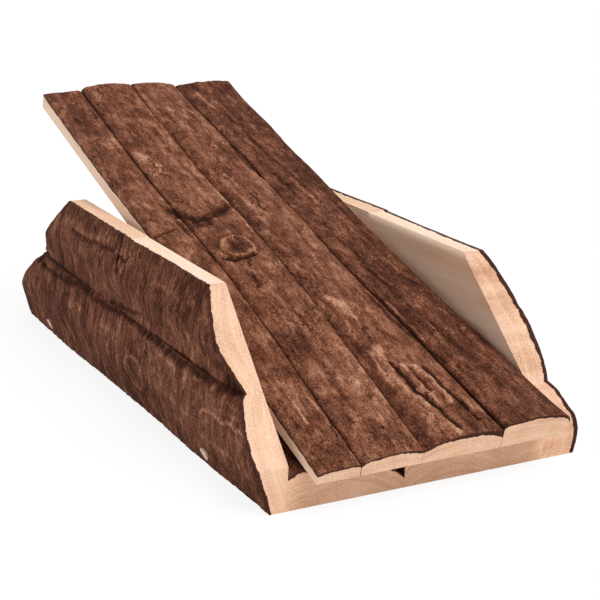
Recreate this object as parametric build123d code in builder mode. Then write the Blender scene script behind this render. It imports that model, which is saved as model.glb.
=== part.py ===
from build123d import *
from collections import namedtuple
from math import asin, atan2, cos, degrees, hypot, radians, sin, sqrt
import os

# A seesaw for small pets, made of half-round wooden slabs that still carry their bark.
# A tray of four slabs lies between two walls of two slabs each. An axle rod sits in the
# walls, and a plank of four long strips rocks on it until its underside meets the tray's end.
# The plank sits a little askew on its level axle, its right side higher.
#
# Millimetres. The origin lies on the floor, under the axle, midway between the walls.
# +X runs along the seesaw to the end that stands low, +Y to the thicker wall, +Z up.

os.makedirs("parts", exist_ok=True)

# ---------------------------------------------------------------- driving dimensions

# Stand
stand_length = 313.0  # walls and tray, end to end
inner_width = 131.0  # between the walls at the floor
wall_height = 82.0
wall_toe = 20.0  # upright foot of a wall's end, below its slope
wall_top_length = 179.0
wall_lean = 3.2  # each wall's inner face comes in by this much on its way up
saw_step = 0.5  # the two saw cuts along a wall's top miss each other by this much
inner_bevel = 1.3  # bevel along the thicker wall's inner edge, measured across the top
inner_bevel_drop = 3.0  # the same bevel, measured down the inner face

# Walls: height of the glued seam, and the thickness at a slab's foot, crest and head
left_seam = 44.0
left_lower_foot, left_lower_crest, left_lower_head = 8.0, 15.2, 10.0
left_upper_foot, left_upper_crest, left_upper_head = 9.2, 14.4, 9.5
right_seam = 32.0
right_lower_foot, right_lower_crest, right_lower_head = 17.5, 20.2, 14.0
right_upper_foot, right_upper_crest, right_upper_head = 13.2, 17.4, 11.5

# Tray: width of its slabs from the left wall on, the last one filling what is left
tray_height = 20.5  # top of the highest crest, where the plank comes to rest
tray_slab_widths = [11.0, 46.4, 52.8]
# ... and how far each one's top lies below that at its left side, crown and right side
tray_drops = [(5.2, 3.7, 3.1), (3.9, 2.9, 14.5), (9.5, 0.0, 9.0), (7.4, 5.0, 4.2)]

# Pegs that pin the walls to the tray
peg_diameter = 6.0
peg_height = 5.6  # centre above the floor
peg_inset_low = 59.5  # from the stand's end under the plank's low end
peg_inset_high = 40.5  # from its other end
left_peg_grip = 23.1  # past the outer slab of the tray, into the next one
right_peg_grip = 5.0
peg_clearance = 0.05  # all round, filled with glue

# Axle and what turns on it
pivot_height = 52.5
axle_diameter = 10.0
axle_seat_depth = 6.0  # blind hole in each wall, from its inner face
axle_seat_clearance = 0.05  # all round, filled with glue
axle_end_clearance = 0.2
axle_chamfer = 0.8
running_clearance = 0.08  # all round, between the axle and a pivot block
block_length = 34.0  # along the seesaw
block_width = 20.0  # along the axle
block_below_axle = 10.0
block_above_axle = 10.0
block_corner = 6.0
block_inset = 4.0  # from an end of the batten
batten_inset = 3.6  # from the plank's nearest edge
batten_width = 44.0  # along the seesaw
batten_thickness = 6.5  # at the middle
batten_chamfer = 1.0

# Plank
rest_clearance = 0.3  # between the plank's underside and the tray it comes to rest on
roll_degrees = 1.0  # how far the plank is turned about its length, right side up
front_overhang = 7.8  # past the stand's end, measured along the plank
rear_overhang = 13.9
end_skew = 2.1  # the low end is sawn this much out of square
left_gap = 3.4  # from the plank's straight edge to the left wall's top
right_gap_high = 3.1  # from its wavy edge to the right wall's top, at the high end
right_flare = 3.6  # past that line, at the low end beyond the stand
# The wavy edge between its ends: place along the plank, and that same gap there
wavy_edge = [(-146, 4.4), (-121, 3.4), (-93, 4.4), (-60, 3.3), (-27, 4.1), (20, 4.0)]
wavy_edge += [(65, 3.0), (124, -0.4), (150, -1.2)]
edge_rounding = 2.0  # where the bark rolls over the wavy edge

# Plank: its strips are drawn at the high end, where the trunk was slim, where a knot swelled
# it, and at the low end
slim_place = -80.0  # measured along the plank from the axle
knot_place = 20.0
# Width of the strips there, from the straight edge on, the last one filling what is left
high_widths = [22.9, 30.4, 28.6]
slim_widths = [22.5, 30.2, 31.0]
knot_widths = [22.0, 30.0, 31.0]
low_widths = [20.4, 29.7, 39.8]
# ... and the thickness of each at its left side, crown and right side
high_thickness = [(8.4, 8.9, 8.6), (9.7, 12.0, 9.8), (10.0, 10.0, 7.0), (7.0, 8.3, 7.1)]
slim_thickness = [(7.6, 8.2, 7.6), (8.3, 10.3, 8.6), (8.8, 10.5, 8.8), (9.0, 9.6, 7.5)]
knot_thickness = [(10.6, 12.2, 11.6), (12.0, 14.6, 13.4), (13.4, 13.8, 10.6), (10.8, 11.2, 8.6)]
low_thickness = [(5.2, 6.2, 5.9), (6.2, 8.2, 6.8), (7.2, 11.0, 9.4), (11.2, 12.8, 10.2)]

# ---------------------------------------------------------------- worked out from these

half_stand = stand_length / 2
peg_front = half_stand - peg_inset_low
peg_rear = peg_inset_high - half_stand
inner_top = inner_width / 2 - wall_lean
underside = block_above_axle + batten_thickness  # from the axle's centre to the plank

tray_seams = [-inner_width / 2]
for width in tray_slab_widths:
    tray_seams.append(tray_seams[-1] + width)
tray_seams.append(inner_width / 2)

# Tilt at rest: the underside is a plane that passes the axle's centre at the distance
# `underside`, and clears the end of the tray's highest crown by `rest_clearance`.
roll = radians(roll_degrees)
highest_crown = (tray_seams[2] + tray_seams[3]) / 2
edge_drop = (pivot_height - tray_height) * cos(roll) + highest_crown * sin(roll)
edge_reach = hypot(half_stand, edge_drop)
tilt = atan2(edge_drop, half_stand) + asin((underside - rest_clearance) / edge_reach)
front_reach = half_stand / cos(tilt) + front_overhang
rear_reach = half_stand / cos(tilt) + rear_overhang

# Square to the axle: x along the seesaw to the low end, z square to it, origin on the axle
slope = Vector(cos(tilt), 0, -sin(tilt))
hinge_frame = Plane(origin=(0, 0, pivot_height), x_dir=slope, z_dir=(sin(tilt), 0, cos(tilt)))
# The plank's own frame: the same, rolled
across = Vector(0, cos(roll), sin(roll))
along = Vector(cos(tilt), sin(tilt) * sin(roll), -sin(tilt) * cos(roll))
plank_frame = Plane(origin=(0, 0, pivot_height), x_dir=along, z_dir=along.cross(across))

left_edge = left_gap - inner_top
right_edge_high = inner_top - right_gap_high
right_edge_low = inner_top + right_flare
half_batten = min(-left_edge, right_edge_high) - batten_inset  # across the plank
block_middle = half_batten - block_inset - block_width / 2

Slab = namedtuple("Slab", "bottom top foot crest head")
left_lower = Slab(0, left_seam, left_lower_foot, left_lower_crest, left_lower_head)
left_upper = Slab(left_seam, wall_height, left_upper_foot, left_upper_crest, left_upper_head)
right_lower = Slab(0, right_seam, right_lower_foot, right_lower_crest, right_lower_head)
right_upper = Slab(right_seam, wall_height, right_upper_foot, right_upper_crest, right_upper_head)
LEFT, RIGHT = -1, 1


def inner_face(height):
    """Distance from the middle to a wall's inner face at a height above the floor."""
    return inner_width / 2 - wall_lean * height / wall_height


def bark_points(side, slab):
    """Foot, crest and head of a wall slab's bark side, as (y, z)."""
    middle = (slab.bottom + slab.top) / 2
    levels = ((slab.bottom, slab.foot), (middle, slab.crest), (slab.top, slab.head))
    return [(side * (inner_face(height) + thick), height) for height, thick in levels]


def drill(radius, x, z, y_from, y_to):
    """Bore a hole along Y into the part being built."""
    with Locations(Location((x, (y_from + y_to) / 2, z), (90, 0, 0))):
        Cylinder(radius, abs(y_to - y_from), mode=Mode.SUBTRACT)


def lower_bark(side):
    """Curve of a lower wall slab's bark side, seen along the seesaw."""
    return ThreePointArc(*bark_points(side, left_lower if side == LEFT else right_lower))


def peg_tip(side):
    """Where a peg's inner end lies, as y."""
    if side == LEFT:
        return tray_seams[1] + left_peg_grip
    return tray_seams[-2] - right_peg_grip


def peg_end(side):
    """Where a peg's axis comes out of the bark, as y."""
    bark = lower_bark(side)
    bulge = sqrt(bark.radius**2 - (peg_height - bark.arc_center.Y) ** 2)
    return bark.arc_center.X + side * bulge


def drill_stand(side):
    """Cut what a slab on this side of the stand has of the peg holes and the axle's seat."""
    past_bark = peg_end(side) + side * peg_diameter
    for x in (peg_front, peg_rear):
        drill(peg_diameter / 2 + peg_clearance, x, peg_height, past_bark, peg_tip(side))
    seat = side * (inner_face(pivot_height) + axle_seat_depth)
    drill(axle_diameter / 2 + axle_seat_clearance, 0, pivot_height, 0, seat)


# ---------------------------------------------------------------- walls


def make_wall_slab(side, slab):
    """One slab of a wall: bark side out, its ends cut to the wall's outline."""
    foot, crest, head = bark_points(side, slab)
    with BuildPart() as piece:
        with BuildSketch(Plane.YZ.offset(-half_stand)):
            with BuildLine():
                ThreePointArc(foot, crest, head)
                inner_head = (side * inner_face(slab.top), slab.top)
                inner_foot = (side * inner_face(slab.bottom), slab.bottom)
                Polyline(head, inner_head, inner_foot, foot)
            make_face()
        extrude(amount=stand_length)
        with BuildSketch(Plane.XZ):
            with BuildLine():
                Polyline(
                    (-half_stand, 0),
                    (half_stand, 0),
                    (half_stand, wall_toe),
                    (wall_top_length / 2, wall_height - saw_step),
                    (0, wall_height - saw_step),
                    (0, wall_height),
                    (-wall_top_length / 2, wall_height),
                    (-half_stand, wall_toe),
                    close=True,
                )
            make_face()
        extrude(amount=inner_width, both=True, mode=Mode.INTERSECT)
        drill_stand(side)
    return piece


left_wall_lower = make_wall_slab(LEFT, left_lower)
left_wall_upper = make_wall_slab(LEFT, left_upper)
right_wall_lower = make_wall_slab(RIGHT, right_lower)
right_wall_upper = make_wall_slab(RIGHT, right_upper)

with right_wall_upper:
    inside = faces().sort_by(Axis.Y)[0]
    front_edges = inside.edges().filter_by(lambda edge: edge.center().X > 1)
    sawn_edges = front_edges.filter_by(lambda edge: edge.center().Z > right_seam + 1)
    chamfer(sawn_edges, inner_bevel_drop, inner_bevel, reference=inside)

# ---------------------------------------------------------------- tray


def make_tray_slab(left, right, drops):
    """One slab of the tray: flat underneath, bark side up, glued to its neighbours."""
    left_height, crown, right_height = (tray_height - drop for drop in drops)
    top_left = -inner_face(left_height) if left == tray_seams[0] else left
    top_right = inner_face(right_height) if right == tray_seams[-1] else right
    with BuildPart() as piece:
        with BuildSketch(Plane.YZ.offset(-half_stand)):
            with BuildLine():
                start, finish = (top_left, left_height), (top_right, right_height)
                ThreePointArc(start, ((left + right) / 2, crown), finish)
                Polyline(finish, (right, 0), (left, 0), start)
            make_face()
        extrude(amount=stand_length)
        drill_stand(LEFT)
        drill_stand(RIGHT)
    return piece


tray_slabs = [
    make_tray_slab(left, right, drops)
    for left, right, drops in zip(tray_seams, tray_seams[1:], tray_drops)
]

# ---------------------------------------------------------------- pegs


def make_peg(side, x):
    """A peg through a wall into the tray, its outer end sawn flush with the bark."""
    tip, end = peg_tip(side), peg_end(side)
    past_bark = end + side * peg_diameter
    bark_centre = lower_bark(side).arc_center
    outward = (0, end - bark_centre.X, peg_height - bark_centre.Y)
    with BuildPart() as piece:
        with Locations(Location((x, (tip + past_bark) / 2, peg_height), (90, 0, 0))):
            Cylinder(peg_diameter / 2, abs(past_bark - tip))
        split(bisect_by=Plane(origin=(x, end, peg_height), z_dir=outward), keep=Keep.BOTTOM)
    return piece


left_peg_front = make_peg(LEFT, peg_front)
left_peg_rear = make_peg(LEFT, peg_rear)
right_peg_front = make_peg(RIGHT, peg_front)
right_peg_rear = make_peg(RIGHT, peg_rear)

# ---------------------------------------------------------------- axle

with BuildPart() as axle_rod:
    half_axle = inner_face(pivot_height) + axle_seat_depth - axle_end_clearance
    with BuildSketch(Plane.XZ):
        with Locations((0, pivot_height)):
            Circle(axle_diameter / 2)
    extrude(amount=half_axle, both=True)
    chamfer(edges().filter_by(GeomType.CIRCLE), axle_chamfer)

# ---------------------------------------------------------------- plank


# Places along the plank where its strips are drawn, with what they measure there
sections = (
    (-rear_reach, high_widths, high_thickness),
    (slim_place, slim_widths, slim_thickness),
    (knot_place, knot_widths, knot_thickness),
    (front_reach + end_skew, low_widths, low_thickness),
)


def make_strip(number):
    """One strip of the plank, passing through its section at each place."""
    last = number == len(low_thickness) - 1
    skew = atan2(end_skew, right_edge_low - left_edge)
    corner = plank_frame.from_local_coords((front_reach, left_edge, 0))
    saw_cut = Plane(corner, z_dir=along * cos(skew) - across * sin(skew))
    with BuildPart() as piece:
        for reach, widths, thickness in sections:
            left = left_edge + sum(widths[:number])
            right = right_edge_low if last else left + widths[number]
            at_left, crown, at_right = (underside + value for value in thickness[number])
            centre = plank_frame.from_local_coords((reach, 0, 0))
            with BuildSketch(Plane(centre, x_dir=across, z_dir=along)):
                with BuildLine():
                    start, finish = (left, at_left), (right, at_right)
                    ThreePointArc(start, ((left + right) / 2, crown), finish)
                    Polyline(finish, (right, underside), (left, underside), start)
                make_face()
        loft(ruled=True)
        split(bisect_by=saw_cut, keep=Keep.BOTTOM)
        if last:
            # The last strip keeps the trunk's wavy edge.
            with BuildSketch(plank_frame):
                with BuildLine():
                    high_corner = (-rear_reach, right_edge_high)
                    low_corner = (front_reach + end_skew, right_edge_low)
                    between = [(place, inner_top - gap) for place, gap in wavy_edge]
                    Spline(high_corner, *between, low_corner)
                    far = inner_width
                    Polyline(low_corner, (low_corner[0], far), (high_corner[0], far), high_corner)
                make_face()
            extrude(amount=inner_width, mode=Mode.SUBTRACT)
            wavy_side = faces().sort_by(Axis.Y)[-1]
            upward = Axis((0, 0, 0), plank_frame.z_dir)
            upper_edges = wavy_side.edges().sort_by(upward)[1 - len(sections) :]
            fillet(upper_edges, edge_rounding)
    return piece


plank_strips = [make_strip(number) for number in range(len(low_thickness))]

# ---------------------------------------------------------------- what turns on the axle

with BuildPart() as cross_batten:
    # Square to the axle underneath, planed to the plank's roll on top
    with BuildSketch(hinge_frame.offset(block_above_axle)):
        Rectangle(batten_width, 2 * half_batten)
    extrude(amount=2 * batten_thickness)
    split(bisect_by=plank_frame.offset(underside), keep=Keep.BOTTOM)
    lower_face = faces().sort_by(Axis((0, 0, 0), hinge_frame.z_dir))[0]
    chamfer(lower_face.edges(), batten_chamfer)


def make_pivot_block(middle):
    """Block glued under the batten, bored for the axle."""
    side_plane = Plane(
        hinge_frame.from_local_coords((0, middle, 0)), x_dir=slope, z_dir=(0, -1, 0)
    )
    with BuildPart() as piece:
        with BuildSketch(side_plane):
            with Locations((0, (block_above_axle - block_below_axle) / 2)):
                Rectangle(block_length, block_above_axle + block_below_axle)
            fillet(vertices().group_by(Axis.Y)[0], block_corner)
            Circle(axle_diameter / 2 + running_clearance, mode=Mode.SUBTRACT)
        extrude(amount=block_width / 2, both=True)
    return piece


left_pivot_block = make_pivot_block(-block_middle)
right_pivot_block = make_pivot_block(block_middle)

# ---------------------------------------------------------------- files

pieces = {
    "left_wall_lower": left_wall_lower,
    "left_wall_upper": left_wall_upper,
    "right_wall_lower": right_wall_lower,
    "right_wall_upper": right_wall_upper,
    "left_peg_front": left_peg_front,
    "left_peg_rear": left_peg_rear,
    "right_peg_front": right_peg_front,
    "right_peg_rear": right_peg_rear,
    "axle_rod": axle_rod,
    "cross_batten": cross_batten,
    "left_pivot_block": left_pivot_block,
    "right_pivot_block": right_pivot_block,
}
for number, slab in enumerate(tray_slabs, start=1):
    pieces[f"tray_slab_{number}"] = slab
for number, strip in enumerate(plank_strips, start=1):
    pieces[f"plank_strip_{number}"] = strip

for name, piece in pieces.items():
    piece.part.label = name
    export_step(piece.part, f"parts/{name}.step")

print(f"tilt at rest {degrees(tilt):.2f} degrees, pivot {pivot_height} mm above the floor")
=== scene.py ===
import math

import bmesh
import bpy
import numpy as np
from mathutils import Matrix, Vector


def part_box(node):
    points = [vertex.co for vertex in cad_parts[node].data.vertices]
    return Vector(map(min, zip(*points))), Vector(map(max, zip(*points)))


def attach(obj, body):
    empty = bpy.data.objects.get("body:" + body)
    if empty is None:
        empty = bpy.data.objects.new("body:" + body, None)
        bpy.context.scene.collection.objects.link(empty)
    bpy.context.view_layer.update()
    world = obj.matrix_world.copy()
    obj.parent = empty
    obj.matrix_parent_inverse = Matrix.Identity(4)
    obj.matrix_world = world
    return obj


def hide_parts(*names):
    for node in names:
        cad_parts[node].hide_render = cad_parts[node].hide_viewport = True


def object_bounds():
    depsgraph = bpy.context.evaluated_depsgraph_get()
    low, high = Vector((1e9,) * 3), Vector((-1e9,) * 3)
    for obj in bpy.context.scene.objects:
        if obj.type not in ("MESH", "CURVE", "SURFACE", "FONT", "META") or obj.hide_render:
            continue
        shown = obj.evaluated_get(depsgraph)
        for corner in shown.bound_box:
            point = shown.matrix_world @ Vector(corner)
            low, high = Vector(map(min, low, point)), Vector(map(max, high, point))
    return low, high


bl_info = {
    "name": "Bark seesaw",
    "version": (1, 0, 0),
    "blender": (4, 5, 0),
    "location": "3D View > Sidebar > Seesaw",
    "description": "Dresses a small pet seesaw of half-round slabs in bark and sawn wood",
    "category": "Object",
}

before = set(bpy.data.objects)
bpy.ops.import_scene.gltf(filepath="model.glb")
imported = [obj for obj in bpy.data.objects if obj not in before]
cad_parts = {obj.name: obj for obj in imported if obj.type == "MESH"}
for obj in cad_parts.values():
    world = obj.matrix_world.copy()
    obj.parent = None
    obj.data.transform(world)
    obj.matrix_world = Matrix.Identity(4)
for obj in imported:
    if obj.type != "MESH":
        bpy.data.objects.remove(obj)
cad_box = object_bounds()

MM = 0.001
STAND, PLANK = "stand", "plank"
BARK, SAWN, END = 0, 1, 2  # places of a slab's three finishes in its material list


def tint(red, green, blue):
    """Linear colour of three everyday 0-255 values."""
    shares = (value / 255 for value in (red, green, blue))
    return tuple(s / 12.92 if s <= 0.04045 else ((s + 0.055) / 1.055) ** 2.4 for s in shares)


# ---------------------------------------------------------------- settings


def colour(name, description, *value):
    """Colour property with its default."""
    return bpy.props.FloatVectorProperty(
        name=name, description=description, subtype="COLOR", size=3, min=0, max=1,
        default=tint(*value),
    )


def length(name, description, default):
    """Length property with its default in metres."""
    return bpy.props.FloatProperty(
        name=name, description=description, unit="LENGTH", subtype="DISTANCE", min=0,
        default=default,
    )


def amount(name, description, default, top=10.0):
    """Plain number property with its default."""
    return bpy.props.FloatProperty(
        name=name, description=description, min=0, max=top, default=default
    )


class SeesawSizes(bpy.types.PropertyGroup):
    """Sizes of what is added to the plain slabs."""

    bark_step: length("Bark grid", "Spacing of the points that carry the bark's relief", 0.65 * MM)
    tray_step: length("Tray grid", "The same spacing on the tray, most of it hidden", 1.6 * MM)
    swell: length("Swells", "Height of the broad swells of the trunk's surface", 0.4 * MM)
    ridge: length("Ridges", "Height of the long fibrous ridges of the bark", 0.26 * MM)
    plate: length("Plates", "Height of the small plates the bark is broken into", 0.16 * MM)
    rim: length("Bark rim", "Thickness of the bark seen on a sawn end", 1.2 * MM)
    thick_rim: length("Thick bark rim", "The same on the thicker wall", 2.4 * MM)
    seam_roll: length("Seam roll", "How far the bark rolls down at a glued seam", 0.9 * MM)


class SeesawColours(bpy.types.PropertyGroup):
    """Colours of the bark and the wood."""

    bark_dark: colour("Dark bark", "Cracks and hollows", 44, 19, 10)
    bark_deep: colour("Deep bark", "Shaded bark between the ridges", 78, 42, 28)
    bark_mid: colour("Bark", "Most of the bark", 112, 67, 48)
    bark_pale: colour("Pale bark", "Worn ridges", 150, 101, 77)
    bark_worn: colour("Worn bark", "Spots worn through to the bast", 202, 156, 126)
    wood_pale: colour("Pale wood", "Wood between its growth rings", 247, 222, 200)
    wood_mid: colour("Wood", "Growth rings and fibres", 221, 180, 150)
    wood_deep: colour("Deep wood", "Knots and the darkest fibres", 168, 115, 84)


class SeesawStage(bpy.types.PropertyGroup):
    """Floor, lamps and surroundings."""

    floor: colour("Floor", "Colour of the floor", 250, 248, 246)
    surroundings: amount("Surroundings", "Strength of the light from all round", 0.6)
    lamp: amount("Lamp", "Strength of the large soft lamp", 2.2)
    lamp_spread: bpy.props.FloatProperty(
        name="Lamp spread", description="Angle that the soft lamp fills", unit="ROTATION",
        subtype="ANGLE", default=math.radians(35), min=0, max=math.pi,
    )


# ---------------------------------------------------------------- noise and marks


def smooth_noise(u, v, seed):
    """Noise from -1 to 1 that varies smoothly over about one unit."""
    table = np.random.RandomState(seed).uniform(-1, 1, (127, 127))
    column, row = np.floor(u).astype(int), np.floor(v).astype(int)
    across, up = u - column, v - row
    across, up = across * across * (3 - 2 * across), up * up * (3 - 2 * up)
    a, b = table[column % 127, row % 127], table[(column + 1) % 127, row % 127]
    c, d = table[column % 127, (row + 1) % 127], table[(column + 1) % 127, (row + 1) % 127]
    return (a * (1 - across) + b * across) * (1 - up) + (c * (1 - across) + d * across) * up


def layered(u, v, seed, layers=3):
    """Smooth noise with finer layers on top, each half as strong."""
    total = sum(
        0.5**layer * smooth_noise(u * 2**layer + 17 * layer, v * 2**layer, seed + layer)
        for layer in range(layers)
    )
    return total / 1.2


def fall_off(distance, width, sharpness=2):
    """1 at no distance, fading to 0 over about a width."""
    return np.exp(-np.abs(distance / width) ** sharpness)


def distance_to_line(u, v, points):
    """Distance of each grid point to a line through points."""
    nearest = np.full(u.shape, np.inf)
    for (ax, ay), (bx, by) in zip(points, points[1:]):
        dx, dy = bx - ax, by - ay
        share = np.clip(((u - ax) * dx + (v - ay) * dy) / (dx * dx + dy * dy), 0, 1)
        nearest = np.minimum(nearest, np.hypot(u - ax - share * dx, v - ay - share * dy))
    return nearest


def smooth_through(places, values, at):
    """Smooth curve through values at rising places, read at many points."""
    places, values = np.asarray(places, float), np.asarray(values, float)
    slopes = np.gradient(values, places)
    span = np.clip(np.searchsorted(places, at) - 1, 0, len(places) - 2)
    gap = places[span + 1] - places[span]
    t = np.clip((at - places[span]) / gap, 0, 1)
    rise, back = t * t * (3 - 2 * t), 1 - t
    bend = slopes[span] * t * back * back - slopes[span + 1] * t * t * back
    return values[span] * (1 - rise) + values[span + 1] * rise + gap * bend


class Relief:
    """Height and tone of a slab's bark, over the places of its grid along and across."""

    def __init__(self, along, across, seed, sizes, upright=False):
        self.u, self.v = along, across
        run, side, reach = (across, along, 13 * MM) if upright else (along, across, 30 * MM)
        bend = 2.2 * MM * layered(run / (60 * MM), side / (25 * MM), seed + 40, 2)
        swells = layered(along / (75 * MM), across / (17 * MM), seed)
        ridges = layered(run / reach, (side + bend) / (3.2 * MM), seed + 10)
        plates = layered(run / (7 * MM), (side + bend) / (2.4 * MM), seed + 20)
        self.height = sizes.swell * swells + sizes.ridge * ridges + sizes.plate * plates
        self.tone = 0.4 * swells + 0.4 * ridges + 0.3 * plates
        self.jitter = MM * layered(along / (5 * MM), across / (5 * MM), seed + 60)
        self.ragged = 1.6 * MM * layered(along / (1.6 * MM), across / (1.6 * MM), seed + 65, 2)

    def line(self, points, width, height, tone, sharpness=2):
        """A crack or a ridge along a line of points. All in millimetres."""
        points = [(x * MM, y * MM) for x, y in points]
        distance = distance_to_line(self.u + self.jitter, self.v - self.jitter, points)
        distance = np.maximum(distance - 0.4 * np.abs(self.ragged), 0)
        share = fall_off(distance, width * MM, sharpness)
        self.height = self.height + share * height * MM
        self.tone = self.tone + share * tone

    def patch(self, x, y, half_length, half_width, tone, height=0.0):
        """A blotch, paler or darker, sunk or raised."""
        du = self.u + 1.5 * self.jitter + 0.5 * self.ragged - x * MM
        dv = self.v - 1.5 * self.jitter + 0.5 * self.ragged - y * MM
        share = fall_off(np.hypot(du / (half_length * MM), dv / (half_width * MM)), 1, 3)
        self.height = self.height + share * height * MM
        self.tone = self.tone + share * tone

    def knot(self, x, y, half_length, half_width, rim=0.6, pit=1.0, pale=1.2):
        """A healed branch: a pale raised ring around a dark pit, with a dark line outside it."""
        reach = np.hypot(
            (self.u + self.jitter - x * MM) / (half_length * MM),
            (self.v - self.jitter - y * MM) / (half_width * MM),
        )
        ring, inside = fall_off(reach - 1, 0.11), fall_off(reach, 0.5)
        outside = fall_off(reach - 1.28, 0.12)
        self.height = self.height + (rim * ring - pit * inside - 0.4 * outside) * MM
        self.tone = self.tone + pale * ring - 1.1 * inside - 0.5 * outside


def make_marks(relief, marks, number):
    """Put those marks that lie on a slab of this number on its relief."""
    for kind, slabs, *values in marks:
        if number in slabs:
            getattr(relief, kind)(*values)


# ---------------------------------------------------------------- slab meshes


def slab_object(name, bark, sawn, picks, grain, wood, tone, wood_tone, rim, glued):
    """Closed mesh of a slab: a grid of bark points, and the points of its sawn face that
    lie opposite them. Between its ends the sawn face keeps only the picked columns.
    `glued` says which of its two long sides lie against a neighbour; these are all bark."""
    rows, columns = bark.shape[:2]
    keep = np.zeros((rows, columns), bool)
    keep[:, picks] = True
    keep[[0, -1]] = True
    top = np.arange(rows * columns).reshape(rows, columns)
    flat = np.full((rows, columns), -1)
    flat[keep] = rows * columns + np.arange(keep.sum())
    points = np.concatenate([bark.reshape(-1, 3), sawn[keep]])

    groups = []  # finish, sides that lie against a neighbour, faces

    def quads(finish, hidden, *corners):
        groups.append((finish, hidden, np.stack([c.ravel() for c in corners], -1).tolist()))

    quads(BARK, False, top[:-1, :-1], top[:-1, 1:], top[1:, 1:], top[1:, :-1])
    for column, hidden in ((0, glued[0]), (columns - 1, glued[1])):
        quads(
            SAWN, hidden, top[:-1, column], top[1:, column], flat[1:, column], flat[:-1, column]
        )
    for first, last in zip(picks, picks[1:]):
        near, far = flat[:, first], flat[:, last]
        quads(SAWN, False, near[1:-2], far[1:-2], far[2:-1], near[2:-1])
        for edge, inward in ((0, 1), (rows - 1, rows - 2)):
            run = flat[edge, first:last + 1].tolist()
            corners = run + [int(flat[inward, last]), int(flat[inward, first])]
            groups.append((SAWN, False, [corners]))
    for edge in (0, rows - 1):
        quads(END, False, top[edge, :-1], top[edge, 1:], flat[edge, 1:], flat[edge, :-1])

    faces = [face for _, _, group in groups for face in group]
    mesh = bpy.data.meshes.new(name)
    mesh.from_pydata(points.tolist(), [], faces)
    kinds = [finish + 10 * hidden for finish, hidden, group in groups for _ in group]
    mesh.polygons.foreach_set("material_index", kinds)
    cleaner = bmesh.new()
    cleaner.from_mesh(mesh)
    bmesh.ops.recalc_face_normals(cleaner, faces=cleaner.faces)
    cleaner.to_mesh(mesh)
    cleaner.free()

    corner_point = np.zeros(len(mesh.loops), int)
    mesh.loops.foreach_get("vertex_index", corner_point)
    sizes, kinds = np.zeros(len(faces), int), np.zeros(len(faces), int)
    mesh.polygons.foreach_get("loop_total", sizes)
    mesh.polygons.foreach_get("material_index", kinds)
    mesh.polygons.foreach_set("material_index", kinds % 10)
    kinds = np.repeat(kinds, sizes)
    on_bark = kinds == BARK

    def spread(over_bark, under_bark, over_sawn):
        """Values for every corner, from grids for the bark and for the cut faces."""
        width = over_bark.shape[2] if over_bark.ndim == 3 else 1
        shown = over_bark.reshape(-1, width)
        cut = np.concatenate([under_bark.reshape(-1, width), over_sawn[keep].reshape(-1, width)])
        at_bark = shown[np.minimum(corner_point, len(shown) - 1)]
        return np.where(on_bark[:, None], at_bark, cut[corner_point])

    depth = np.linalg.norm(bark - sawn, axis=-1)
    at_surface = np.concatenate([wood, np.zeros_like(depth)[..., None]], -1)
    at_sawn = np.concatenate([wood, depth[..., None]], -1)
    skin = spread(rim, rim, rim - depth)
    skin[kinds >= 10] = 1.0
    for label, kind, values in (
        ("grain", "FLOAT_VECTOR", spread(grain, at_surface, at_sawn)),
        ("tone", "FLOAT", spread(tone, wood_tone, wood_tone)),
        ("skin", "FLOAT", skin),
    ):
        attribute = mesh.attributes.new(label, kind, "CORNER")
        field = "vector" if kind == "FLOAT_VECTOR" else "value"
        attribute.data.foreach_set(field, values.astype(np.float32).ravel())
    mesh.shade_smooth()
    mesh.set_sharp_from_angle(angle=math.radians(48))
    made = bpy.data.objects.new(name, mesh)
    bpy.context.scene.collection.objects.link(made)
    return made


def inside_box(points):
    """The same points, kept in the plain model's box."""
    low, high = np.array(cad_box[0]), np.array(cad_box[1])
    return np.clip(points, low, high)


def finish_slab(made, body, node, finishes):
    """Give a slab its finishes, and let it ride in place of its plain node."""
    for finish in finishes:
        made.data.materials.append(finish)
    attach(made, body)
    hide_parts(node)


def grid_counts(long_side, short_side, step):
    """Number of rows and columns of a slab's grid."""
    return max(8, round(long_side / step) + 1), max(8, round(short_side / step) + 1)


def arched(share, left, crown, right):
    """Height of a half-round top at shares of its width."""
    rest = 1 - share
    from_left = left * rest * (1 - 2 * share)
    return from_left + 4 * crown * share * rest + right * share * (2 * share - 1)


# ---------------------------------------------------------------- walls

half_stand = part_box("left_wall_lower")[1].x
wall_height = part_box("left_wall_upper")[1].z
wall_toe = 20 * MM
half_wall_top = 89.5 * MM
inner_foot = 65.5 * MM  # from the middle to a wall's inner face, at the floor
wall_lean = 3.2 * MM
saw_step = 0.5 * MM
bevel_across = 1.3 * MM
bevel_down = 3.0 * MM
peg_places = [
    (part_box(name)[0].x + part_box(name)[1].x) / 2 for name in ("left_peg_front", "left_peg_rear")
]
peg_height = 5.6 * MM

LEFT, RIGHT = -1, 1
# Node, side, seed, and how thick the slab is at heights up its bark, in millimetres
WALL_SLABS = (
    ("left_wall_lower", LEFT, 11, (
        (0, 8.2), (4, 9.7), (12, 12.1), (17, 13.8), (21, 14.9), (26, 15.3), (32, 14.6),
        (38, 12.9), (42, 11.2), (44, 9.6),
    )),
    ("left_wall_upper", LEFT, 12, (
        (44, 9.2), (46, 9.6), (49, 10.6), (55, 12.5), (61, 13.9), (67, 13.8), (73, 12.4),
        (79.5, 10.5), (82, 9.6),
    )),
    ("right_wall_lower", RIGHT, 13, (
        (0, 17.2), (1, 17.5), (5, 18.6), (12.5, 19.3), (17, 18.1), (24, 15.3), (29, 14.1),
        (32, 12.4),
    )),
    ("right_wall_upper", RIGHT, 14, (
        (32, 12.3), (34, 12.8), (38, 14.1), (44, 15.7), (53, 16.8), (57, 16.4), (65, 15.5),
        (71, 14.2), (78, 13.2), (82, 11.6),
    )),
)
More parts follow.
